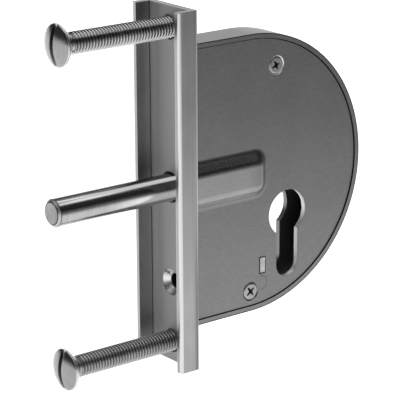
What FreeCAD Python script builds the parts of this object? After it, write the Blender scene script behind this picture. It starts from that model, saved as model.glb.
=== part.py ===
import FreeCAD, Part
import math
import os

# Gate bolt lock. X runs along the bolt, from the bolt's outer end (-X) into the case (+X).
# The cover faces -Y and +Z is up. The origin is on the bolt's axis, in the plane where the
# case meets the channel. All sizes are in millimetres.
V = FreeCAD.Vector

# Channel that seats on the gate's frame
channel_width = 27.5
channel_depth = 8.5
channel_wall = 2.5
channel_bend = 1.2
channel_lip_round = 1.2

# Long screws that hold the lock to the frame
screw_inset = 7.7
screw_case_gap = 1.95
screw_radius = 3.95
screw_head_radius = 7.6
screw_head_rim = 0.5
screw_dome = 2.3
screw_slot_width = 2.0
screw_slot_depth = 2.4
screw_head_x = -49.6
screw_end_x = 5.4
screw_end_chamfer = 0.7
screw_seat_play = 0.1
screw_seat_chamfer = 0.45

# Case
case_radius = 52.4
case_centre_x = 29.6
case_face_y = -6.5
case_back_y = 6.5
rim_wall = 1.8
back_sheet = 2.0
cover_sheet = 2.0
cover_recess = 0.5
cover_play = 0.35
front_wall = 2.0

# Raised channel pressed into both sheets over the bolt
bulge_rise = 3.0
back_bulge_rise = 2.5
bulge_half = 9.5
bulge_crest_half = 4.8
bulge_length = 37.6
bulge_corner = 6.2
bulge_crest_round = 3.6
bulge_base_round = 2.5

# Key cylinder hole
cylinder_x = 47.2
cylinder_edge = 4.9
cylinder_radius = 8.75
cylinder_height = 33.7
cylinder_slot = 10.3

# Hole for the cylinder's fixing screw
cylinder_screw_drop = 18.2
cylinder_screw_radius = 2.8
cylinder_screw_head_radius = 5.0
cylinder_screw_seat_depth = 2.1
seat_notch_width = 1.5
seat_notch_depth = 1.6
seat_notches = 4

# Bolt
bolt_radius = 5.0
bolt_out = 53.6
bolt_in = 35.0
bolt_chamfer = 1.0
bolt_hole_play = 0.35
bolt_hole_chamfer = 0.45
bolt_throw = 20.0

# Guide bush behind the channel
bush_radius = 6.7
bush_length = 14.0
bush_play = 0.06
bush_seat_play = 0.1

# Tail plate in the bolt's slotted end
tail_thickness = 2.5
tail_play = 0.05
tail_tongue = 20.0
tail_tongue_half = 3.4
tail_shoulder_gap = 0.1
tail_back_x = 68.0
tail_bottom_z = -6.0
tail_top_z = 17.0
tail_corner = 1.5
cam_notch_x = 57.2
cam_notch_width = 12.0
cam_notch_top_z = -1.0
rivet_radius = 1.5
rivet_half_length = 4.3
rivet_first_x = 20.0
rivet_pitch = 10.0

# Stud that guides and stops the tail
stud_x = 42.0
stud_z = 7.0
stud_radius = 3.0
stud_play = 0.1
washer_radius = 4.75
washer_play = 0.1

# Tumbler
pivot_x = 20.0
pivot_z = 17.5
pivot_radius = 2.5
pivot_play = 0.05
pivot_head_radius = 4.0
pivot_head_thickness = 0.5
tumbler_y = 2.2
tumbler_thickness = 1.5
tumbler_hub_radius = 4.6
tumbler_nose_x = 42.0
tumbler_nose_z = 19.6
tumbler_arm_low_z = 16.4
tumbler_gusset = 2.4
tumbler_arm_high_z = 23.5
tumbler_arm_level = 8.0
tumbler_leg_x = 50.0
tumbler_leg_width = 7.0
tumbler_foot_z = -3.4
tumbler_side_play = 0.05
tumbler_pin_radius = 2.0
tumbler_pin_play = 0.3
tumbler_notch_floor_z = 13.6

# Wire spring over the tumbler
spring_wire_radius = 0.45
spring_wire_sides = 12
spring_post_x = 24.0
spring_post_inset = 13.6
spring_post_radius = 2.0
spring_post_play = 0.15
spring_press_x = 37.0
spring_press_gap = 0.3
spring_stop_x = 15.0
spring_stop_z = 29.0
spring_stop_radius = 1.6
spring_stop_reach = 1.5
spring_stop_gap = 0.05

# Pillars and screws of the cover
upper_pillar_angle = 73.0
upper_pillar_inset = 9.6
lower_pillar_angle = -89.7
lower_pillar_inset = 5.6
pillar_radius = 3.2
cover_screw_radius = 2.0
cover_screw_head_radius = 3.6
cover_screw_length = 8.0
cover_screw_play = 0.1
cross_width = 0.9
cross_length = 3.8
cross_depth = 1.0
cross_turn = 25.0

# Guide block of the cylinder's fixing screw, whose end shows in the cover's window
block_x = 35.5
block_width = 2.3
block_height = 5.7
block_shoulder = 1.2
window_play = 0.35

# How far a cut runs past the faces it opens
overrun = 1.0

# Values that follow from the sizes above
screw_height = case_radius + screw_case_gap + screw_radius
screw_heights = (screw_height, -screw_height)
half_height = screw_height + screw_inset
channel_height = 2 * half_height
half_width = channel_width / 2
cover_out_y = case_face_y + cover_recess
cover_in_y = cover_out_y + cover_sheet
back_in_y = case_back_y - back_sheet
inner_radius = case_radius - rim_wall
cover_radius = inner_radius - cover_play
rim_below_cylinder = math.sqrt(inner_radius ** 2 - (cylinder_x - case_centre_x) ** 2)
cylinder_z = cylinder_edge + cylinder_height - cylinder_radius - rim_below_cylinder
cylinder_screw_z = cylinder_z - cylinder_screw_drop
bulge_taper = bulge_half - bulge_crest_half
tail_half = tail_thickness / 2
tumbler_back_y = tumbler_y + tumbler_thickness
spring_y = tumbler_y + tumbler_thickness / 2
spring_post_z = inner_radius - spring_post_inset


def place_in_case(angle, inset):
    """Place in the XZ plane, given from the case's centre and its inner wall."""
    reach, turn = inner_radius - inset, math.radians(angle)
    return case_centre_x + reach * math.cos(turn), reach * math.sin(turn)


pillar_places = (place_in_case(upper_pillar_angle, upper_pillar_inset),
                 place_in_case(lower_pillar_angle, lower_pillar_inset))


def box(x0, x1, y0, y1, z0, z1):
    return Part.makeBox(x1 - x0, y1 - y0, z1 - z0, V(x0, y0, z0))


def rod_x(radius, x0, x1, z=0.0):
    return Part.makeCylinder(radius, x1 - x0, V(x0, 0, z), V(1, 0, 0))


def rod_y(radius, y0, y1, x, z):
    return Part.makeCylinder(radius, y1 - y0, V(x, y0, z), V(0, 1, 0))


def cone_x(radius_0, radius_1, x0, x1, z=0.0):
    return Part.makeCone(radius_0, radius_1, x1 - x0, V(x0, 0, z), V(1, 0, 0))


def plate_y(edges, y0, y1):
    """Plate between two planes across Y, from edges drawn in the XZ plane."""
    wire = Part.Wire(edges)
    wire.translate(V(0, y0, 0))
    return Part.Face(wire).extrude(V(0, y1 - y0, 0))


def polygon_y(points, y0, y1):
    corners = [V(x, 0, z) for x, z in points]
    closed = corners + corners[:1]
    return plate_y([Part.makeLine(a, b) for a, b in zip(closed, closed[1:])], y0, y1)


def d_plate(radius, front_x, y0, y1):
    """Plate of the case's D outline, straight at the channel and round behind."""
    top, bottom = V(case_centre_x, 0, radius), V(case_centre_x, 0, -radius)
    front_top, front_bottom = V(front_x, 0, radius), V(front_x, 0, -radius)
    round_back = Part.Arc(top, V(case_centre_x + radius, 0, 0), bottom).toShape()
    edges = [Part.makeLine(front_top, top), round_back,
             Part.makeLine(bottom, front_bottom), Part.makeLine(front_bottom, front_top)]
    return plate_y(edges, y0, y1)


def polygon_face(corners):
    return Part.Face(Part.makePolygon(corners + corners[:1]))


def bulge(front_x, base_y, rise, inset, side):
    """Tapered ridge over the bolt; inset shrinks it for the inner face of the sheet."""
    crest_y = base_y + side * rise
    half, end_x, corner = bulge_half - inset, bulge_length - inset, bulge_corner - inset
    axis_x, axis_z = end_x - corner, half - corner
    crest_half = half - bulge_taper
    along = polygon_face([V(front_x, base_y, -half), V(front_x, base_y, half),
                          V(front_x, crest_y, crest_half), V(front_x, crest_y, -crest_half)])
    across = polygon_face([V(front_x, base_y, -axis_z), V(end_x, base_y, -axis_z),
                           V(end_x - bulge_taper, crest_y, -axis_z), V(front_x, crest_y, -axis_z)])
    corners = [Part.makeCone(corner, corner - bulge_taper, rise, V(axis_x, base_y, z), V(0, side, 0))
               for z in (-axis_z, axis_z)]
    ridge = along.extrude(V(axis_x - front_x, 0, 0))
    ridge = ridge.fuse([across.extrude(V(0, 0, 2 * axis_z))] + corners).removeSplitter()
    if inset:
        return ridge
    crest_edges = [e for e in ridge.Edges
                   if all(abs(v.Y - crest_y) < 1e-6 for v in e.Vertexes)
                   and not all(abs(v.X - front_x) < 1e-6 for v in e.Vertexes)]
    return ridge.makeFillet(bulge_crest_round, crest_edges)


def bulge_pair(front_x, outer_y, inner_y, rise, side):
    """Outer and inner bodies of one pressed ridge."""
    slope = math.atan2(rise, bulge_taper)
    inset = abs(outer_y - inner_y) * math.tan(slope / 2)
    outer = bulge(front_x, outer_y - side * cover_recess, rise + cover_recess, 0, side)
    inner = bulge(front_x - overrun, inner_y, rise, inset, side)
    return outer, inner


def cylinder_cut(y0, y1):
    """Profile hole of the key cylinder: a round head over a slot with a round foot."""
    foot_z = cylinder_z + cylinder_radius - cylinder_height + cylinder_slot / 2
    head = rod_y(cylinder_radius, y0, y1, cylinder_x, cylinder_z)
    slot = box(cylinder_x - cylinder_slot / 2, cylinder_x + cylinder_slot / 2, y0, y1, foot_z, cylinder_z)
    foot = rod_y(cylinder_slot / 2, y0, y1, cylinder_x, foot_z)
    return head.fuse([slot, foot])


def forend_channel():
    points = [(-channel_depth, -half_width), (0, -half_width), (0, half_width),
              (-channel_depth, half_width), (-channel_depth, half_width - channel_wall),
              (-channel_wall, half_width - channel_wall), (-channel_wall, -half_width + channel_wall),
              (-channel_depth, -half_width + channel_wall)]
    corners = [V(x, y, -half_height) for x, y in points]
    body = polygon_face(corners).extrude(V(0, 0, channel_height))
    upright = [e for e in body.Edges if abs(e.Vertexes[0].Z - e.Vertexes[1].Z) > 1]
    outer_bends = [e for e in upright if abs(e.Vertexes[0].X) < 1e-6]
    body = body.makeFillet(channel_bend, outer_bends)
    upright = [e for e in body.Edges if abs(e.Vertexes[0].Z - e.Vertexes[-1].Z) > 1]
    lips = [e for e in upright if abs(e.Vertexes[0].X + channel_depth) < 1e-6
            and abs(abs(e.Vertexes[0].Y) - half_width) < 1e-6]
    body = body.makeFillet(channel_lip_round, lips)
    cuts = []
    seat = screw_radius + screw_seat_play
    for z in screw_heights:
        cuts.append(rod_x(seat, -channel_wall - overrun, overrun, z))
        cuts.append(cone_x(seat + screw_seat_chamfer, seat, -channel_wall,
                           -channel_wall + screw_seat_chamfer, z))
    hole = bolt_radius + bolt_hole_play
    cuts.append(rod_x(hole, -channel_wall - overrun, overrun))
    cuts.append(cone_x(hole + bolt_hole_chamfer, hole, -channel_wall, -channel_wall + bolt_hole_chamfer))
    cuts += cylinder_screw_seat()
    return body.cut(cuts)


def cylinder_screw_seat():
    """Countersunk hole with radial notches in its cone."""
    x0 = -channel_wall
    cuts = [rod_x(cylinder_screw_radius, x0 - overrun, overrun, cylinder_screw_z),
            cone_x(cylinder_screw_head_radius, cylinder_screw_radius, x0,
                   x0 + cylinder_screw_seat_depth, cylinder_screw_z)]
    for i in range(seat_notches):
        notch = box(x0, x0 + seat_notch_depth, -seat_notch_width / 2, seat_notch_width / 2,
                    0, cylinder_screw_head_radius)
        notch.rotate(V(0, 0, 0), V(1, 0, 0), 360 / seat_notches * (i + 0.5))
        notch.translate(V(0, 0, cylinder_screw_z))
        cuts.append(notch)
    return cuts


def soften_base(body):
    """Rounds the edge in which the bulge rises from the cover."""
    base = [e for e in body.Edges
            if all(abs(v.Y - cover_out_y) < 1e-6 and abs(v.Z) < bulge_half for v in e.Vertexes)
            and max(v.X for v in e.Vertexes) < bulge_length
            and max(v.X for v in e.Vertexes) > cover_play + overrun]
    return body.makeFillet(bulge_base_round, base)


def case_tray():
    shell = d_plate(case_radius, 0, case_face_y, case_back_y)
    room = d_plate(inner_radius, front_wall, cover_in_y, back_in_y)
    cover_room = d_plate(inner_radius, -overrun, case_face_y - overrun, cover_in_y)
    body = shell.cut([room, cover_room])
    outer, inner = bulge_pair(0, case_back_y, back_in_y, back_bulge_rise, 1)
    cuts = [inner, cylinder_cut(back_in_y - overrun, case_back_y + overrun),
            rod_x(bush_radius + bush_seat_play, -overrun, front_wall + overrun),
            rod_x(cylinder_screw_radius, -overrun, front_wall + overrun, cylinder_screw_z)]
    cuts.append(block_tenon(back_in_y - overrun, case_back_y + overrun, 0))
    return body.fuse(outer).cut(cuts).removeSplitter()


def case_cover():
    front_x = cover_play
    plate = d_plate(cover_radius, front_x, cover_out_y, cover_in_y)
    outer, inner = bulge_pair(front_x, cover_out_y, cover_in_y, bulge_rise, -1)
    cuts = [inner, cylinder_cut(cover_out_y - overrun, cover_in_y + overrun),
            block_tenon(cover_out_y - overrun, cover_in_y + overrun, window_play)]
    seat = cover_screw_head_radius + cover_screw_play
    shank = cover_screw_radius + cover_screw_play
    for x, z in pillar_places:
        cuts.append(rod_y(shank, cover_out_y - overrun, cover_in_y + overrun, x, z))
        cuts.append(Part.makeCone(seat, shank, seat - shank, V(x, cover_out_y, z), V(0, 1, 0)))
    return soften_base(plate.fuse(outer).removeSplitter()).cut(cuts).removeSplitter()


def block_tenon(y0, y1, play):
    half_x, half_z = block_width / 2 + play, block_height / 2 + play
    return box(block_x - half_x, block_x + half_x, y0, y1,
               cylinder_screw_z - half_z, cylinder_screw_z + half_z)


def cylinder_screw_guide():
    """Block with a cross hole for the cylinder's screw, one end in the cover's window."""
    tenon = block_tenon(cover_out_y, case_back_y, 0)
    body = block_tenon(cover_in_y, back_in_y, block_shoulder)
    hole = rod_x(cylinder_screw_radius, block_x - block_width * 2, block_x + block_width * 2,
                 cylinder_screw_z)
    return tenon.fuse(body).cut(hole).removeSplitter()


def fixing_screw(z):
    """Raised countersunk screw with a slotted domed head, drawn as a turned profile."""
    cone_end = screw_head_x + screw_head_rim + screw_head_radius - screw_radius
    apex = screw_head_x - screw_dome
    dome_radius = (screw_head_radius ** 2 + screw_dome ** 2) / (2 * screw_dome)
    half_angle = math.asin(screw_head_radius / dome_radius) / 2
    dome_mid = V(apex + dome_radius * (1 - math.cos(half_angle)), 0, dome_radius * math.sin(half_angle))
    profile = [V(screw_head_x, 0, screw_head_radius),
               V(screw_head_x + screw_head_rim, 0, screw_head_radius),
               V(cone_end, 0, screw_radius),
               V(screw_end_x - screw_end_chamfer, 0, screw_radius),
               V(screw_end_x, 0, screw_radius - screw_end_chamfer),
               V(screw_end_x, 0, 0), V(apex, 0, 0)]
    edges = [Part.Arc(profile[-1], dome_mid, profile[0]).toShape()]
    edges += [Part.makeLine(a, b) for a, b in zip(profile, profile[1:])]
    turned = Part.Face(Part.Wire(edges)).revolve(V(0, 0, 0), V(1, 0, 0), 360)
    slot = box(apex - overrun, apex + screw_slot_depth, -screw_slot_width / 2, screw_slot_width / 2,
               -screw_head_radius - overrun, screw_head_radius + overrun)
    screw = turned.cut(slot)
    screw.translate(V(0, 0, z))
    return screw


def cover_screw(x, z):
    """Countersunk screw with a cross recess."""
    cone = cover_screw_head_radius - cover_screw_radius
    head = Part.makeCone(cover_screw_head_radius, cover_screw_radius, cone,
                         V(x, cover_out_y, z), V(0, 1, 0))
    shank = rod_y(cover_screw_radius, cover_out_y + cone / 2, cover_out_y + cover_screw_length, x, z)
    half_l, half_w = cross_length / 2, cross_width / 2
    y1 = cover_out_y + cross_depth
    upright = box(x - half_w, x + half_w, cover_out_y - overrun, y1, z - half_l, z + half_l)
    level = box(x - half_l, x + half_l, cover_out_y - overrun, y1, z - half_w, z + half_w)
    recess = upright.fuse(level)
    recess.rotate(V(x, 0, z), V(0, 1, 0), cross_turn)
    return head.fuse(shank).cut(recess)


def cover_pillar(x, z):
    """Threaded pillar between the sheets, welded to the far one."""
    body = rod_y(pillar_radius, cover_in_y, back_in_y, x, z)
    bore = rod_y(cover_screw_radius + cover_screw_play, cover_in_y - overrun,
                 cover_out_y + cover_screw_length + overrun, x, z)
    return body.cut(bore)


def bolt_rod():
    rod = rod_x(bolt_radius, -bolt_out, bolt_in)
    ends = [e for e in rod.Edges if isinstance(e.Curve, Part.Circle)]
    rod = rod.makeChamfer(bolt_chamfer, ends)
    half_slot, over = tail_half + tail_play, bolt_radius + overrun
    slot = box(bolt_in - tail_tongue, bolt_in + overrun, -half_slot, half_slot, -over, over)
    return rod.cut([slot] + [cross_hole(i) for i in range(2)])


def cross_hole(index):
    over = bolt_radius + overrun
    return rod_y(rivet_radius, -over, over, rivet_first_x + rivet_pitch * index, 0)


def tail_rivet(index):
    x = rivet_first_x + rivet_pitch * index
    return rod_y(rivet_radius, -rivet_half_length, rivet_half_length, x, 0)


def bolt_tail():
    """Plate with the cam's notch below, two tumbler notches above and the stud's slot."""
    over = tail_half + overrun
    shoulder = bolt_in + tail_shoulder_gap
    tongue_x = bolt_in - tail_tongue + tail_shoulder_gap
    plate = box(shoulder, tail_back_x, -tail_half, tail_half, tail_bottom_z, tail_top_z)
    rounded = [e for e in plate.Edges if abs(e.Vertexes[0].Y - e.Vertexes[1].Y) > 1]
    plate = plate.makeFillet(tail_corner, rounded)
    tongue = box(tongue_x, shoulder + tail_corner, -tail_half, tail_half,
                 -tail_tongue_half, tail_tongue_half)
    half_cam = cam_notch_width / 2
    cuts = [box(cam_notch_x - half_cam, cam_notch_x + half_cam, -over, over,
                tail_bottom_z - overrun, cam_notch_top_z)]
    half_notch = tumbler_pin_radius + tumbler_pin_play
    for x in (tumbler_nose_x, tumbler_nose_x + bolt_throw):
        cuts.append(box(x - half_notch, x + half_notch, -over, over,
                        tumbler_notch_floor_z, tail_top_z + overrun))
    slot_radius = stud_radius + stud_play
    for x in (stud_x, stud_x + bolt_throw):
        cuts.append(rod_y(slot_radius, -over, over, x, stud_z))
    cuts.append(box(stud_x, stud_x + bolt_throw, -over, over,
                    stud_z - slot_radius, stud_z + slot_radius))
    cuts += [cross_hole(i) for i in range(2)]
    return plate.fuse(tongue).cut(cuts).removeSplitter()


def bolt_guide_bush():
    bore = rod_x(bolt_radius + bush_play, -overrun, bush_length + overrun)
    return rod_x(bush_radius, 0, bush_length).cut(bore)


def guide_stud():
    return rod_y(stud_radius, cover_in_y, back_in_y, stud_x, stud_z)


def guide_washer(y0, y1):
    ring = rod_y(washer_radius, y0, y1, stud_x, stud_z)
    return ring.cut(rod_y(stud_radius + washer_play, y0 - overrun, y1 + overrun, stud_x, stud_z))


def tumbler():
    """Lever from its pivot over the tail to a leg that reaches the cam's path."""
    leg_back = tumbler_leg_x + tumbler_leg_width
    points = [(pivot_x, pivot_z - tumbler_hub_radius),
              (tumbler_leg_x - tumbler_gusset, tumbler_arm_low_z),
              (tumbler_leg_x, tumbler_arm_low_z - tumbler_gusset), (tumbler_leg_x, tumbler_foot_z),
              (leg_back, tumbler_foot_z), (leg_back, tumbler_arm_high_z),
              (tumbler_nose_x - tumbler_arm_level, tumbler_arm_high_z),
              (pivot_x, pivot_z + tumbler_hub_radius)]
    arm = polygon_y(points, tumbler_y, tumbler_back_y)
    across = [e for e in arm.Edges if abs(e.Vertexes[0].Y - e.Vertexes[1].Y) > 1
              and e.Vertexes[0].X > pivot_x + 1]
    arm = arm.makeFillet(tumbler_leg_width / 4, across)
    hub = rod_y(tumbler_hub_radius, tumbler_y, tumbler_back_y, pivot_x, pivot_z)
    y0, y1 = tumbler_y - overrun, tumbler_back_y + overrun
    holes = [rod_y(pivot_radius + pivot_play, y0, y1, pivot_x, pivot_z),
             rod_y(tumbler_pin_radius, y0, y1, tumbler_nose_x, tumbler_nose_z)]
    return arm.fuse(hub).cut(holes).removeSplitter()


def tumbler_pin():
    return rod_y(tumbler_pin_radius, -tail_half, tumbler_back_y, tumbler_nose_x, tumbler_nose_z)


def tumbler_pivot():
    head_back = tumbler_y - tumbler_side_play
    head = rod_y(pivot_head_radius, head_back - pivot_head_thickness, head_back, pivot_x, pivot_z)
    shank = rod_y(pivot_radius, head_back, back_in_y, pivot_x, pivot_z)
    return head.fuse(shank).removeSplitter()


def tumbler_washer():
    y0 = tumbler_back_y + tumbler_side_play
    ring = rod_y(tumbler_hub_radius, y0, back_in_y, pivot_x, pivot_z)
    return ring.cut(rod_y(pivot_radius + pivot_play, y0 - overrun, back_in_y + overrun, pivot_x, pivot_z))


def spring_leg(x, z, clear, side, reach):
    """Points where a leg leaves the bend and ends past a place, and its direction from the post."""
    bend = spring_post_radius + spring_post_play + spring_wire_radius
    dx, dz = x - spring_post_x, z - spring_post_z
    angle = math.atan2(dz, dx) + side * math.acos((bend - clear) / math.hypot(dx, dz))
    normal = V(math.cos(angle), 0, math.sin(angle))
    touch = V(spring_post_x, spring_y, spring_post_z) + normal * bend
    over = V(x, spring_y, z) + normal * clear
    return touch, over + (over - touch).normalize() * reach, normal


def tumbler_spring():
    """Wire bent over its post, one leg on the tumbler and one on its stop."""
    press_clear = spring_wire_radius + spring_press_gap
    stop_clear = spring_wire_radius + spring_stop_gap + spring_stop_radius
    press_touch, press_end, press_side = spring_leg(spring_press_x, tumbler_arm_high_z,
                                                    press_clear, 1, 0)
    stop_touch, stop_end, stop_side = spring_leg(spring_stop_x, spring_stop_z, stop_clear, -1,
                                                 spring_stop_reach)
    post = V(spring_post_x, spring_y, spring_post_z)
    bend_mid = post + (press_side + stop_side).normalize() * (press_touch - post).Length
    path = Part.Wire([Part.makeLine(stop_end, stop_touch),
                      Part.Arc(stop_touch, bend_mid, press_touch).toShape(),
                      Part.makeLine(press_touch, press_end)])
    sideways = V(0, 1, 0) * spring_wire_radius
    turns = [FreeCAD.Rotation(stop_touch - stop_end, 360 / spring_wire_sides * i)
             for i in range(spring_wire_sides + 1)]
    section = Part.makePolygon([stop_end + turn.multVec(sideways) for turn in turns])
    return path.makePipeShell([section], True, True)


def spring_stud(radius, x, z):
    """Stud that carries the spring, welded to the far sheet."""
    return rod_y(radius, tumbler_y - spring_wire_radius, back_in_y, x, z)


nodes = {
    "forend_channel": [forend_channel()],
    "case_tray": [case_tray()],
    "case_cover": [case_cover()],
    "cover_screws": [cover_screw(x, z) for x, z in pillar_places],
    "cover_pillars": [cover_pillar(x, z) for x, z in pillar_places],
    "fixing_screws": [fixing_screw(z) for z in screw_heights],
    "cylinder_screw_guide": [cylinder_screw_guide()],
    "bolt_rod": [bolt_rod()],
    "bolt_tail": [bolt_tail()],
    "tail_rivets": [tail_rivet(i) for i in range(2)],
    "bolt_guide_bush": [bolt_guide_bush()],
    "tail_guide_stud": [guide_stud()],
    "guide_washers": [guide_washer(cover_in_y, -tail_half - washer_play),
                      guide_washer(tail_half + washer_play, back_in_y)],
    "tumbler": [tumbler()],
    "tumbler_pin": [tumbler_pin()],
    "tumbler_pivot": [tumbler_pivot()],
    "tumbler_washer": [tumbler_washer()],
    "tumbler_spring": [tumbler_spring()],
    "spring_post": [spring_stud(spring_post_radius, spring_post_x, spring_post_z)],
    "spring_stop": [spring_stud(spring_stop_radius, spring_stop_x, spring_stop_z)],
}

os.makedirs("parts", exist_ok=True)
for name, solids in nodes.items():
    shape = solids[0] if len(solids) == 1 else Part.makeCompound(solids)
    shape.exportStep("parts/" + name + ".step")
    print(name, "solids", len(shape.Solids), "valid", shape.isValid(), "volume", round(shape.Volume, 1))
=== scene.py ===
import math
import bpy
import bmesh
from mathutils import Matrix, Vector


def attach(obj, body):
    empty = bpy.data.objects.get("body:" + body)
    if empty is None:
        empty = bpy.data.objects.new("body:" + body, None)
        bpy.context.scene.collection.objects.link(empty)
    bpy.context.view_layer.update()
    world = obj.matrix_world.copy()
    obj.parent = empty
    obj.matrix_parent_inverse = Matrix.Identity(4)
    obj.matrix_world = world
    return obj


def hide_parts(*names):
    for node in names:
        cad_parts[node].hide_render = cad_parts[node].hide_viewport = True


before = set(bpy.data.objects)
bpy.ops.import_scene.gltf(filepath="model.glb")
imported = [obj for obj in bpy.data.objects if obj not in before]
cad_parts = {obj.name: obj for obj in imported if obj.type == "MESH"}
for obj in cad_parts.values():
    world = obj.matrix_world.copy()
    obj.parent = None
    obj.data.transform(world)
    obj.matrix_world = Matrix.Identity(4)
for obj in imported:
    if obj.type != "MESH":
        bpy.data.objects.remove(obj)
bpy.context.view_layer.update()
print("frame loaded:", len(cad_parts), "nodes")

mm = 0.001  # sizes are in millimetres unless a note says metres


class Tone:  # a socket that can be used in sums
    def __init__(self, tree, socket):
        self.tree = tree
        self.socket = socket

    def node(self, kind, settings=None, inputs=None, out=0):
        made = self.tree.nodes.new(kind)
        for key, value in (settings or {}).items():
            if key == "stops":
                ramp = made.color_ramp
                while len(ramp.elements) < len(value):
                    ramp.elements.new(1.0)
                for stop, (place, level) in zip(ramp.elements, value):
                    stop.position = place
                    stop.color = (level, level, level, 1)
            else:
                setattr(made, key, value)
        for key, value in (inputs or {}).items():
            if isinstance(value, Tone):
                self.tree.links.new(value.socket, made.inputs[key])
            else:
                made.inputs[key].default_value = value
        return Tone(self.tree, made.outputs[out])

    def math(self, operation, *others):
        values = {0: self}
        values.update({i + 1: other for i, other in enumerate(others)})
        return self.node("ShaderNodeMath", {"operation": operation}, values)

    def __add__(self, other):
        return self.math("ADD", other)

    def __mul__(self, other):
        return self.math("MULTIPLY", other)

    def __sub__(self, other):
        return self.math("SUBTRACT", other)

    def __rsub__(self, other):
        return self.node("ShaderNodeMath", {"operation": "SUBTRACT"}, {0: other, 1: self})

    def __pow__(self, other):
        return self.math("POWER", other)

    __radd__ = __add__
    __rmul__ = __mul__

    def above(self, low, high):  # 0 up to low, 1 from high on, smooth between
        return self.node("ShaderNodeMapRange", {"interpolation_type": "SMOOTHSTEP", "clamp": True},
                         {"Value": self, "From Min": low, "From Max": high})

    def below(self, low, high):
        return 1 - self.above(low, high)

    def near(self, value, core, edge):  # 1 at the value, 0 from edge away on
        return (self - value).math("ABSOLUTE").below(core, edge)

    def blend(self, first, second):  # colours, this value as the factor
        return self.node("ShaderNodeMix", {"data_type": "RGBA"}, {0: self, 6: first, 7: second}, 2)


def grey(value, warmth=0.0):
    return (value * (1 + warmth), value, value * (1 - warmth), 1)


def split(vector):  # x, y and z of a vector
    return [vector.node("ShaderNodeSeparateXYZ", {}, {0: vector}, i) for i in range(3)]


def distance(first, second):
    return (first ** 2.0 + second ** 2.0) ** 0.5


class Metal:  # one material: its tree, its place on the object in millimetres and its surface shader
    def __init__(self, name):
        self.material = bpy.data.materials.new(name)
        self.material.use_nodes = True
        self.tree = self.material.node_tree
        self.surface = self.tree.nodes["Principled BSDF"]
        self.place = Tone(self.tree, None).node("ShaderNodeTexCoord", out="Object")
        self.x, self.y, self.z = [part * (1 / mm) for part in split(self.place)]

    def noise(self, scale, stretch=(1, 1, 1), detail=3.0):
        spread = self.place.node("ShaderNodeVectorMath", {"operation": "MULTIPLY"},
                                 {0: self.place, 1: stretch})
        return spread.node("ShaderNodeTexNoise", {}, {"Vector": spread, "Scale": scale,
                                                      "Detail": detail, "Roughness": 0.55})

    def roundMark(self, x, z, radius, line):  # ring line round a place seen along Y
        return distance(self.x - x, self.z - z).near(radius, 0.0, line)

    def glow(self, level):  # painted light: a faint glow of its own
        colour = level.blend(grey(0.0), grey(1.0))
        self.tree.links.new(colour.socket, self.surface.inputs["Emission Color"])
        self.surface.inputs["Emission Strength"].default_value = 1.0

    def finish(self, colour, roughness, height, bump, deep):
        self.tree.links.new(colour.socket, self.surface.inputs["Base Color"])
        self.tree.links.new(roughness.socket, self.surface.inputs["Roughness"])
        self.surface.inputs["Metallic"].default_value = 1.0
        raised = height.node("ShaderNodeBump", {}, {"Strength": bump, "Distance": deep * mm,
                                                    "Height": height})
        self.tree.links.new(raised.socket, self.surface.inputs["Normal"])
        return self.material


sheet = {"dark": 0.165, "light": 0.222, "roughness": 0.36, "bump": 0.12}

cover = {"faceY": -6.0, "bulge": 0.31, "bulgeRise": 1.4, "fade": (24, 37), "fadeBy": 0.7, "smoother": 0.12,
         "cut": 0.85, "cutFrom": 33.5, "windowX": 35.5, "windowZ": -35.79, "windowHalfX": 1.5,
         "windowHalfZ": 3.2, "paintedShade": 0.02, "shadeLine": (0.05, 0.3), "shadeEnd": (0.8, 1.6),
         "markX": 34.7, "markZ": -42.6, "markRadius": 2.8, "markLine": 0.4, "markSide": (-1.5, 0.5),
         "markShade": 0.62}

tray = {"radius": 52.4, "centreX": 29.6, "frontY": -6.5, "corner": 0.05, "cornerWidth": 0.5, "wall": 0.42}


def zincSheet(name, detail):
    metal = Metal(name)
    clouds = metal.noise(55)
    grain = metal.noise(1300, (0.3, 1, 1), 2.0)
    specks = metal.noise(2600, detail=1.0)
    tone = (clouds * 0.3 + grain * 0.35 + specks * 0.35).above(0.25, 0.75)
    colour = tone.blend(grey(sheet["dark"], 0.01), grey(sheet["light"], 0.005))
    rough = sheet["roughness"] + (clouds - 0.5) * 0.12 + (specks - 0.5) * 0.1
    colour, rough = detail(metal, tone, colour, rough)
    return metal.finish(colour, rough, grain * 0.5 + specks * 0.2, sheet["bump"], 0.1)


def coverParts(metal, tone, colour, rough):
    faceY = cover["faceY"]
    # the pressed bulge is smoother and painted paler as a painted sheen, both less so at its inner end
    raised = metal.y.below(faceY - cover["bulgeRise"], faceY - 0.05)
    raised = raised * (1 - metal.x.above(*cover["fade"]) * cover["fadeBy"])
    colour = raised.blend(colour, tone.blend(grey(cover["bulge"] * 0.8), grey(cover["bulge"])))
    rough = rough - raised * cover["smoother"]
    # walls of the key hole and the window are painted pale: bare metal, and a painted highlight where light
    # catches them
    behind = metal.y.above(faceY + 0.05, faceY + 0.15)
    cut = behind * metal.x.above(cover["cutFrom"], cover["cutFrom"] + 0.1)
    colour = cut.blend(colour, grey(cover["cut"]))
    rough = rough + cut * 0.2
    # painted shade: a dark line along the window's left, upper and lower edges
    fromX = (metal.x - cover["windowX"]).math("ABSOLUTE") - cover["windowHalfX"]
    fromZ = (metal.z - cover["windowZ"]).math("ABSOLUTE") - cover["windowHalfZ"]
    left = metal.x.below(*[cover["windowX"] + way for way in cover["shadeEnd"]])
    paintedShade = fromX.math("MAXIMUM", fromZ).below(*cover["shadeLine"]) * left * (1 - behind)
    colour = paintedShade.blend(colour, grey(cover["paintedShade"]))
    # faint pressed ring beside the lower screw, drawn as painted shade on its right side only
    mark = metal.roundMark(cover["markX"], cover["markZ"], cover["markRadius"], cover["markLine"])
    mark = mark * metal.x.above(*[cover["markX"] + way for way in cover["markSide"]])
    colour = (mark * 0.8).blend(colour, grey(sheet["dark"] * cover["markShade"]))
    return colour, rough


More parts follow.
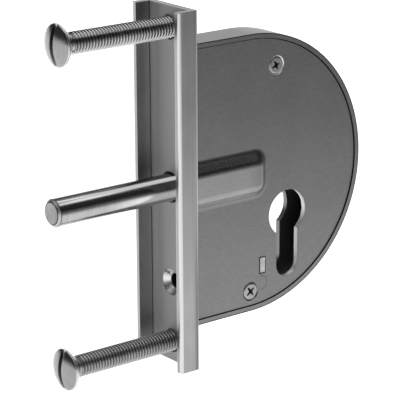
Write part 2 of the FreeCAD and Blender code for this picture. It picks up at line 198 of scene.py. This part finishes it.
def trayRim(metal, tone, colour, rough):  # painted highlight on the outer wall, painted shade at the outer corner of the rim
    reach = distance((metal.x - tray["centreX"]).math("MAXIMUM", 0.0), metal.z)
    front = metal.y.below(tray["frontY"] + 0.15, tray["frontY"] + 0.4)
    wall = reach.above(tray["radius"] - 0.1, tray["radius"] - 0.03) * (1 - front)
    colour = wall.blend(colour, grey(tray["wall"]))
    corner = reach.above(tray["radius"] - tray["cornerWidth"], tray["radius"] - tray["cornerWidth"] / 2)
    return (corner * front).blend(colour, grey(tray["corner"])), rough


channel = {"dark": 0.29, "light": 0.375, "roughness": 0.34, "half": 13.75, "wall": 2.5, "depth": 8.5,
           "halfHeight": 66.0, "round": 1.2, "soft": 0.3, "roundHighlight": 0.62, "rearShade": 0.08,
           "rearAcross": (-3.2, -0.4), "rearDown": (-45, 10), "rearBy": 0.85, "corner": 0.08,
           "cornerLine": (0.1, 0.45), "seatZ": -35.79, "seatRadius": 5.6, "seat": 0.66, "web": (0.31, 0.66),
           "webBy": 0.6, "webRoughness": 0.62, "sawn": 0.5, "sawnEdge": 0.12, "edgeWidth": 0.75,
           "facing": 0.85, "markX": -5.0, "markZ": 46.5, "markRadius": 1.6, "markDepth": 6.0}


def drawnSteel(name):
    metal = Metal(name)
    x, y, z = metal.x, metal.y, metal.z
    lines = metal.noise(1500, (1, 1, 0.012), 3.0)
    clouds = metal.noise(40)
    specks = metal.noise(1800, detail=1.0)
    tone = (lines * 0.5 + clouds * 0.5).above(0.3, 0.7)
    colour = tone.blend(grey(channel["dark"]), grey(channel["light"]))
    half, wall, curve, soft = [channel[key] for key in ("half", "wall", "round", "soft")]
    across = y.math("ABSOLUTE")
    innerY = half - wall  # inner faces of both lips
    # the outer rounds get a painted highlight
    lip = x.below(curve - channel["depth"] - soft, curve - channel["depth"])
    bend = x.above(-curve, soft - curve)
    outward = across.above(half - curve, half - curve + soft)
    colour = (outward * (bend + lip)).blend(colour, grey(channel["roundHighlight"]))
    # painted shade: the near lip is darker at its rear, low down
    rearShade = x.above(*channel["rearAcross"]) * z.below(*channel["rearDown"])
    rearShade = rearShade * y.below(0.15 - half, 0.35 - half)
    colour = (rearShade * channel["rearBy"]).blend(colour, grey(channel["rearShade"]))
    # painted shade in the far inner corner
    toCorner = distance(x + wall, y - innerY)
    colour = toCorner.above(*channel["cornerLine"]).blend(grey(channel["corner"]), colour)
    # the seat of the cylinder's fixing screw is cut bright
    seat = distance(y, z - channel["seatZ"]).below(channel["seatRadius"] - 0.1, channel["seatRadius"])
    seat = seat * x.above(0.08 - wall, 0.2 - wall)
    colour = seat.blend(colour, grey(channel["seat"]))
    # the web's inner face has painted shade on its near side and is painted lighter on its far side
    web = across.below(innerY - 0.2, innerY) * x.near(-wall, 0.01, 0.05)
    farSideLight = across.above(6, 11) * y.above(-3, 3)
    colour = (web * channel["webBy"]).blend(colour, farSideLight.blend(*[grey(level) for level in channel["web"]]))
    # sawn ends, with painted shade as a dark line along their outer edge
    ends = z.math("ABSOLUTE").above(channel["halfHeight"] - 0.1, channel["halfHeight"] - 0.03)
    outline = (x + channel["edgeWidth"]).math("MAXIMUM", across - (half - channel["edgeWidth"]))
    sawn = outline.above(0.0, 0.08).blend(grey(channel["sawn"]), grey(channel["sawnEdge"]))
    colour = ends.blend(colour, sawn)
    # the near lip's inner face throws light on the bolt
    facing = y.near(-innerY, 0.02, 0.1) * x.below(-0.15, -0.05)
    colour = facing.blend(colour, grey(channel["facing"]))
    rough = channel["roughness"] + (lines - 0.5) * 0.25 + (clouds - 0.5) * 0.15
    rough = rough + web * (channel["webRoughness"] - channel["roughness"])
    # faint round mark pressed into the far lip
    mark = metal.roundMark(channel["markX"], channel["markZ"], channel["markRadius"], 0.3) * y.above(10, 11)
    height = lines * 0.5 + specks * 0.15 - mark * channel["markDepth"]
    return metal.finish(colour, rough, height, 0.10, 0.1)


def turnedSteel(name, values, detail, along=(1, 0.05, 0.05)):
    metal = Metal(name)
    rings = metal.noise(2400, along, 2.0)
    clouds = metal.noise(90)
    tone = (rings * 0.4 + clouds * 0.6).above(0.3, 0.7)
    colour = tone.blend(grey(values["dark"]), grey(values["light"]))
    rough = values["roughness"] + (clouds - 0.5) * 0.12 + (rings - 0.5) * 0.08
    colour, rough = detail(metal, tone, colour, rough)
    return metal.finish(colour, rough, rings, 0.05, 0.05)


# a painted light band, glowing: strength, degrees up from the bolt's near side, its edge and core, its
# start and full length
bolt = {"dark": 0.3404, "light": 0.4292, "roughness": 0.14, "endX": -53.6, "chamferLength": 1.0,
        "chamfer": 0.42, "face": 0.34, "faceRadius": 3.95, "line": 0.02,
        "paintedBands": ((0.5, 55.5, (4.87, 4.985), (-54, -36)), (0.3, -12.0, (4.62, 4.97), (-36, -16)))}


def boltParts(metal, tone, colour, rough):
    faceX, chamferX = bolt["endX"], bolt["endX"] + bolt["chamferLength"]
    # duller chamfer, scratched end face, and painted dark reflections as lines at both edges of the chamfer
    tip = metal.x.below(chamferX, chamferX + 0.05)
    colour = tip.blend(colour, grey(bolt["chamfer"]))
    scratches = metal.noise(700, (1, 1, 0.25), 3.0).above(0.35, 0.65)
    face = scratches.blend(grey(bolt["face"] * 0.7), grey(bolt["face"]))
    colour = metal.x.below(faceX + 0.03, faceX + 0.1).blend(colour, face)
    inner = distance(metal.y, metal.z).near(bolt["faceRadius"], 0.1, 0.28)
    colour = (inner * tip).blend(colour, grey(bolt["line"]))
    outer = metal.x.near(chamferX, 0.08, 0.25)
    colour = (outer * 0.7).blend(colour, grey(bolt["line"]))
    # painted highlight and reflection bands glow and run straight on to the channel, which would darken the
    # real reflections
    paintedBands = 0.0
    for strength, degrees, across, length in bolt["paintedBands"]:
        angle = math.radians(degrees)
        toward = (metal.z * math.sin(angle) - metal.y * math.cos(angle)).above(*across)
        paintedBands = toward * metal.x.above(*length) * strength + paintedBands
    metal.glow(paintedBands)
    return colour, rough + tip * 0.25


screw = {"headX": -49.6, "rim": 0.5, "headRadius": 7.6, "dome": 2.3, "edge": 0.12, "headSides": 96,
         "domeRings": 12, "slotWidth": 2.0, "slotFloor": 2.4, "slotLength": 20.0, "slotEdge": 0.2,
         "radius": 3.95, "neck": 0.9, "neckRadius": 3.7, "neckCap": 0.3, "endX": 5.4, "endChamfer": 0.7,
         "heights": (58.3, -58.3), "pitch": 1.25, "depth": 0.72, "crest": 0.16, "flank": 0.66,
         "sides": 56, "steps": 8, "sharpFrom": 28}

screwLook = {"dark": 0.391, "light": 0.493, "roughness": 0.20, "dome": 0.31, "rim": 0.55, "rimWidth": 0.5,
             "root": 0.08, "threadFrom": 3.5, "lower": 0.2, "lowerBy": 0.35, "lowerRougher": 0.14}


def screwParts(metal, tone, colour, rough):
    headX, endX, radius = screw["headX"], screw["endX"], screw["radius"]
    reach = distance(metal.y, metal.z.math("ABSOLUTE") - screw["heights"][0])
    # dome painted darker as painted shade, with a painted highlight on the rim
    dome = metal.x.below(headX, headX + 0.2)
    colour = dome.blend(colour, tone.blend(grey(screwLook["dome"] * 0.8), grey(screwLook["dome"])))
    rimFrom = screw["headRadius"] - screwLook["rimWidth"]
    rim = metal.x.near(headX + screw["rim"] / 2, 0.35, 0.5) * reach.above(rimFrom, rimFrom + 0.15)
    colour = rim.blend(colour, grey(screwLook["rim"]))
    # painted shade in the roots of the thread, and the lower thread painted darker as painted shade and
    # made rougher
    thread = metal.x.above(headX + screwLook["threadFrom"], headX + screwLook["threadFrom"] + 0.2)
    root = reach.below(radius - 0.7, radius - 0.35) * thread * metal.x.below(endX - 0.08, endX - 0.03)
    colour = root.blend(colour, grey(screwLook["root"]))
    lower = metal.z.below(-9, 9) * thread
    colour = (lower * screwLook["lowerBy"]).blend(colour, grey(screwLook["lower"]))
    return colour, rough + rim * 0.15 + lower * screwLook["lowerRougher"]


coverScrew = {"places": ((41.587, 39.209), (29.836, -44.999)), "turns": (25.0, 38.0), "faceY": -6.0,
              "radius": 3.55, "cone": 1.6, "coneStart": 1.3, "shank": 1.95, "reach": 7.9, "gap": 0.34,
              "gapDepth": 0.8, "gapWall": 0.1, "edge": 0.75, "edgeDrop": 0.42, "armLength": 2.1,
              "armWidth": 0.62, "tipWidth": 0.34, "armSlope": 0.22, "tipSlope": 0.15, "depth": 1.2,
              "rise": 0.62, "sides": 120, "steps": 46, "sharpFrom": 40,
              "dark": 0.2852, "light": 0.3596, "roughness": 0.30, "paintedShade": 0.02, "shadeFrom": (0.45, 0.9)}


def crossRecess(metal, tone, colour, rough):  # painted shade in the recess and in the gap round the head
    deep = metal.y.above(*[coverScrew["faceY"] + way for way in coverScrew["shadeFrom"]])
    return deep.blend(colour, grey(coverScrew["paintedShade"])), rough + deep * 0.2


hidden = {"dark": 0.20, "light": 0.34, "roughness": 0.38}


def oiledSteel(name, shade=1.0):
    metal = Metal(name)
    clouds = metal.noise(120)
    lines = metal.noise(1400, (0.05, 1, 1), 2.0)
    tone = (clouds * 0.6 + lines * 0.4).above(0.3, 0.7)
    colour = tone.blend(grey(hidden["dark"] * shade), grey(hidden["light"] * shade))
    return metal.finish(colour, hidden["roughness"] + (clouds - 0.5) * 0.3, lines, 0.1, 0.1)


finishes = {
    "forend_channel": drawnSteel("channelSteel"),
    "case_tray": zincSheet("caseSteel", trayRim),
    "case_cover": zincSheet("coverSteel", coverParts),
    "cover_screws": turnedSteel("coverScrewSteel", coverScrew, crossRecess, (0.05, 1, 0.05)),
    "fixing_screws": turnedSteel("screwSteel", screwLook, screwParts),
    "bolt_rod": turnedSteel("boltSteel", bolt, boltParts),
    "bolt_guide_bush": oiledSteel("bushSteel", 0.35),
    "cylinder_screw_guide": oiledSteel("guideSteel", 1.5),
    "tumbler_spring": oiledSteel("springSteel", 0.7),
}
plain = oiledSteel("innerSteel")
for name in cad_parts:
    mesh = bpy.data.objects[name].data
    mesh.materials.clear()
    mesh.materials.append(finishes.get(name, plain))
print("finishes on", len(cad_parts), "nodes")


def joinRings(mesh, rings, sides):  # faces between neighbouring rings, a ring of one point closes an end
    for first, second in zip(rings, rings[1:]):
        for i in range(sides):
            j = (i + 1) % sides
            corners = [first[i % len(first)], second[i % len(second)],
                       second[j % len(second)], first[j % len(first)]]
            mesh.faces.new(list(dict.fromkeys(corners)))


def turned(mesh, profile, z, sides):  # profile points (x, radius) turned about the screw's axis
    rings = []
    for x, radius in profile:
        angles = [2 * math.pi * i / sides for i in range(sides)] if radius else [0.0]
        rings.append([mesh.verts.new((x * mm, -math.sin(angle) * radius * mm,
                                      (z + math.cos(angle) * radius) * mm)) for angle in angles])
    joinRings(mesh, rings, sides)


def threadRadius(step):  # flat crest, straight flanks and a narrow root over one pitch
    share = (step % screw["steps"]) / screw["steps"]
    shape = min(1.0, max(0.0, (abs(share - 0.5) * 2 - screw["crest"]) / screw["flank"]))
    return screw["radius"] - screw["depth"] * (1 - shape)


def threadedShank(mesh, x0, x1, z):
    steps, sides, pitch = screw["steps"], screw["sides"], screw["pitch"]
    count = (math.ceil((x1 - x0) / pitch) + 2) * steps
    rows = []
    for side in range(sides):
        angle = 2 * math.pi * side / sides
        row = []
        for step in range(count + 1):
            x = x0 + (step / steps - 1 + side / sides) * pitch
            tapered = screw["radius"] - max(0.0, screw["endChamfer"] - (x1 - x))
            radius = min(threadRadius(step), tapered)
            if x <= x0:
                radius = screw["radius"] - screw["depth"]
            elif x >= x1:
                radius = screw["radius"] - screw["endChamfer"]  # all on the end's rim, merged later
            x = min(max(x, x0), x1)
            row.append(mesh.verts.new((x * mm, -math.sin(angle) * radius * mm,
                                       (z + math.cos(angle) * radius) * mm)))
        rows.append(row)
    for side in range(sides):
        last = side == sides - 1
        nextRow, jump = (rows[0], steps) if last else (rows[side + 1], 0)
        for step in range(count - jump):
            a, b = step + jump, step + 1 + jump
            mesh.faces.new((rows[side][step], rows[side][step + 1], nextRow[b], nextRow[a]))


def headProfile():
    headX, headRadius, edge = screw["headX"], screw["headRadius"], screw["edge"]
    apex = headX - screw["dome"]
    ball = (headRadius ** 2 + screw["dome"] ** 2) / (2 * screw["dome"])  # the dome's own radius
    points = []
    for i in range(screw["domeRings"] + 1):
        reach = (headRadius - edge) * i / screw["domeRings"]
        points.append((apex + ball - math.sqrt(ball ** 2 - reach ** 2), reach))
    rimEnd = headX + screw["rim"]
    coneEnd = rimEnd + headRadius - screw["radius"]
    neckEnd = coneEnd + screw["neck"]
    points += [(headX + edge, headRadius), (rimEnd - edge, headRadius), (rimEnd + edge, headRadius - edge),
               (coneEnd, screw["neckRadius"]), (neckEnd, screw["neckRadius"]),
               (neckEnd + screw["neckCap"], 0.0)]
    return points, neckEnd


def objectFrom(mesh, name):
    data = bpy.data.meshes.new(name)
    mesh.to_mesh(data)
    mesh.free()
    made = bpy.data.objects.new(name, data)
    bpy.context.collection.objects.link(made)
    return made


def smooth(piece, degrees):
    for face in piece.data.polygons:
        face.use_smooth = True
    piece.data.set_sharp_from_angle(angle=math.radians(degrees))


def cutSlots(piece, cutter):  # cuts the slots and rounds their edges a little
    cut = piece.modifiers.new("slot", "BOOLEAN")
    cut.object, cut.operation, cut.solver = cutter, "DIFFERENCE", "EXACT"
    edge = piece.modifiers.new("edge", "BEVEL")
    edge.width, edge.segments = screw["slotEdge"] * mm, 2
    edge.limit_method, edge.angle_limit = "ANGLE", math.radians(50)
    graph = bpy.context.evaluated_depsgraph_get()
    result = bpy.data.meshes.new_from_object(piece.evaluated_get(graph))
    piece.modifiers.clear()
    piece.data = result
    bpy.data.objects.remove(cutter)


def makeFixingScrews():
    profile, shankStart = headProfile()
    endX, sides = screw["endX"], screw["sides"]
    heads, slots, shanks = bmesh.new(), bmesh.new(), bmesh.new()
    for z in screw["heights"]:
        turned(heads, profile, z, screw["headSides"])
        threadedShank(shanks, shankStart, endX, z)
        turned(shanks, [(shankStart, 0.0), (shankStart, screw["radius"] - screw["depth"])], z, sides)
        turned(shanks, [(endX, screw["radius"] - screw["endChamfer"]), (endX, 0.0)], z, sides)
        block = bmesh.ops.create_cube(slots, size=1.0)["verts"]
        size = (2 * screw["slotFloor"], screw["slotWidth"], screw["slotLength"])
        bmesh.ops.scale(slots, verts=block, vec=[length * mm for length in size])
        bmesh.ops.translate(slots, verts=block, vec=((screw["headX"] - screw["dome"]) * mm, 0, z * mm))
    bmesh.ops.remove_doubles(shanks, verts=shanks.verts, dist=1e-7)
    bmesh.ops.dissolve_degenerate(shanks, edges=shanks.edges, dist=1e-7)
    for mesh in (heads, shanks):
        bmesh.ops.recalc_face_normals(mesh, faces=mesh.faces)
    piece = objectFrom(heads, "fixingScrews")
    cutSlots(piece, objectFrom(slots, "slotCutter"))
    whole = bmesh.new()
    whole.from_mesh(piece.data)
    thread = objectFrom(shanks, "threads")
    whole.from_mesh(thread.data)
    bpy.data.objects.remove(thread)
    whole.to_mesh(piece.data)
    whole.free()
    smooth(piece, screw["sharpFrom"])
    piece.data.materials.clear()
    piece.data.materials.append(finishes["fixing_screws"])
    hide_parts("fixing_screws")
    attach(piece, "case")
    return piece


screws = makeFixingScrews()
print("fixing screws:", len(screws.data.polygons), "faces")


def headFace(x, z):  # depth of the screw's face at a place: gap, rounded edge, tapering cross
    fromEdge = coverScrew["radius"] - coverScrew["gap"] - math.hypot(x, z)
    if fromEdge < 0:
        return coverScrew["edgeDrop"] + coverScrew["gapDepth"] * min(1.0, -fromEdge / coverScrew["gapWall"])
    drop = 0.0
    if fromEdge < coverScrew["edge"]:
        part = 1 - fromEdge / coverScrew["edge"]
        drop = coverScrew["edgeDrop"] * (1 - math.sqrt(max(0.0, 1 - part ** 2)))
    near = max(abs(x), abs(z)) / coverScrew["armLength"]
    width = coverScrew["armWidth"] + (coverScrew["tipWidth"] - coverScrew["armWidth"]) * near
    side = min(1.0, max(0.0, (width - min(abs(x), abs(z))) / coverScrew["armSlope"]))
    tip = min(1.0, max(0.0, (1 - near) / coverScrew["tipSlope"]))
    return drop + side * tip * coverScrew["depth"] * (1 - coverScrew["rise"] * near)


def makeCoverScrews():
    mesh = bmesh.new()
    sides, steps, faceY = coverScrew["sides"], coverScrew["steps"], coverScrew["faceY"]
    for (cx, cz), turn in zip(coverScrew["places"], coverScrew["turns"]):
        spin = math.radians(turn)
        rings = []
        for step in range(steps + 1):
            reach = coverScrew["radius"] * (step / steps)
            ring = []
            for side in range(sides if step else 1):
                angle = 2 * math.pi * side / sides
                x, z = reach * math.cos(angle), reach * math.sin(angle)
                turnedX = x * math.cos(spin) - z * math.sin(spin)
                turnedZ = x * math.sin(spin) + z * math.cos(spin)
                ring.append(mesh.verts.new(((cx + turnedX) * mm, (faceY + headFace(x, z)) * mm,
                                            (cz + turnedZ) * mm)))
            rings.append(ring)
        endY = faceY + coverScrew["reach"]
        below = ((faceY + coverScrew["coneStart"], coverScrew["radius"] - coverScrew["coneStart"]),
                 (faceY + coverScrew["cone"], coverScrew["shank"]), (endY, coverScrew["shank"]))
        for y, radius in below:
            angles = [2 * math.pi * i / sides + spin for i in range(sides)]
            rings.append([mesh.verts.new(((cx + radius * math.cos(angle)) * mm, y * mm,
                                          (cz + radius * math.sin(angle)) * mm)) for angle in angles])
        rings.append([mesh.verts.new((cx * mm, endY * mm, cz * mm))])
        joinRings(mesh, rings, sides)
    bmesh.ops.recalc_face_normals(mesh, faces=mesh.faces)
    piece = objectFrom(mesh, "coverScrews")
    smooth(piece, coverScrew["sharpFrom"])
    piece.data.materials.append(finishes["cover_screws"])
    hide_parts("cover_screws")
    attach(piece, "case")
    return piece


caps = makeCoverScrews()
print("cover screws:", len(caps.data.polygons), "faces")


# the floor's half size and the lamp are in metres
# world tones are (height, level) pairs: height 0 is straight down, 0.5 the horizon, 1 straight up
studio = {"floorZ": -66.05, "floorHalf": 6.0, "floorColour": 0.36, "floorGlow": 1.15, "farGlow": 0.14,
          "keyPower": 0.8, "keyPlace": (0.1, 0.25, 0.9), "keySize": (0.9, 0.5),
          "front": ((0.0, 0.2), (0.53, 0.2), (0.60, 0.12), (0.63, 0.03), (0.83, 0.04), (0.878, 0.12),
                    (0.893, 1.5)),
          "behind": ((0.0, 1.0), (0.53, 1.0), (0.57, 0.12), (0.62, 0.06), (0.75, 0.08), (0.81, 0.28),
                     (0.88, 0.32), (0.895, 1.5)),
          "strip": 0.85, "stripLow": (0.05, 0.1), "stripHigh": (0.31, 0.38)}


def makeFloor():  # pale floor that glows, greyer towards the front right
    mesh = bmesh.new()
    bmesh.ops.create_grid(mesh, x_segments=1, y_segments=1, size=studio["floorHalf"])
    floor = objectFrom(mesh, "floor")
    floor.location.z = studio["floorZ"] * mm
    material = bpy.data.materials.new("paleFloor")
    material.use_nodes = True
    surface = material.node_tree.nodes["Principled BSDF"]
    surface.inputs["Base Color"].default_value = grey(studio["floorColour"])
    surface.inputs["Roughness"].default_value = 0.9
    surface.inputs["Specular IOR Level"].default_value = 0.0
    along, across = split(Tone(material.node_tree, None).node("ShaderNodeTexCoord", out="Object"))[:2]
    away = (along * 0.6 - across * 0.8).above(0.03, 0.50)
    glow = away.blend(grey(1.0), grey(studio["farGlow"]))
    material.node_tree.links.new(glow.socket, surface.inputs["Emission Color"])
    surface.inputs["Emission Strength"].default_value = studio["floorGlow"]
    floor.data.materials.append(material)


def makeWorld():  # dark with light overhead, white behind up to the horizon, a pale strip at the back right
    world = bpy.data.worlds.new("studio")
    bpy.context.scene.world = world
    world.use_nodes = True
    right, back, up = split(Tone(world.node_tree, None).node("ShaderNodeTexCoord", out="Generated"))
    height = up * 0.5 + 0.5
    front = height.node("ShaderNodeValToRGB", {"stops": studio["front"]}, {0: height})
    behind = height.node("ShaderNodeValToRGB", {"stops": studio["behind"]}, {0: height})
    strip = up.above(*studio["stripLow"]) * up.below(*studio["stripHigh"]) * right.above(-0.1, 0.2)
    behind = strip.blend(behind, grey(studio["strip"]))  # for faces that look up
    level = back.above(-0.1, 0.25).blend(front, behind)
    background = world.node_tree.nodes["Background"]
    world.node_tree.links.new(level.socket, background.inputs["Color"])
    background.inputs["Strength"].default_value = 1.0


def makeLamp():
    lamp = bpy.data.lights.new("key", "AREA")
    lamp.shape = "RECTANGLE"
    lamp.size, lamp.size_y = studio["keySize"]
    lamp.energy = studio["keyPower"]
    made = bpy.data.objects.new("key", lamp)
    bpy.context.collection.objects.link(made)
    made.location = studio["keyPlace"]


view = {"place": (-424.5, -562.0, 209.3), "yaw": 37.768, "pitch": -16.95, "roll": -0.286,
        "focal": 2053.0, "frame": 400}  # degrees, focal length and frame in pixels


def makeCamera():
    yaw, pitch, roll = [math.radians(view[key]) for key in ("yaw", "pitch", "roll")]
    forward = Vector((math.sin(yaw) * math.cos(pitch), math.cos(yaw) * math.cos(pitch), math.sin(pitch)))
    level = Vector((math.cos(yaw), -math.sin(yaw), 0))
    upright = level.cross(forward)
    right = level * math.cos(roll) + upright * math.sin(roll)
    up = upright * math.cos(roll) - level * math.sin(roll)
    lens = bpy.data.cameras.new("camera")
    lens.sensor_width = 36
    lens.lens = view["focal"] / view["frame"] * lens.sensor_width
    lens.clip_start, lens.clip_end = 0.01, 50
    camera = bpy.data.objects.new("camera", lens)
    bpy.context.collection.objects.link(camera)
    turn = Matrix((right, up, -forward)).transposed().to_4x4()
    camera.matrix_world = Matrix.Translation(Vector(view["place"]) * mm) @ turn
    bpy.context.scene.camera = camera


makeFloor()
makeWorld()
makeLamp()
makeCamera()
bpy.context.scene.view_settings.view_transform = "Standard"
print("studio ready")
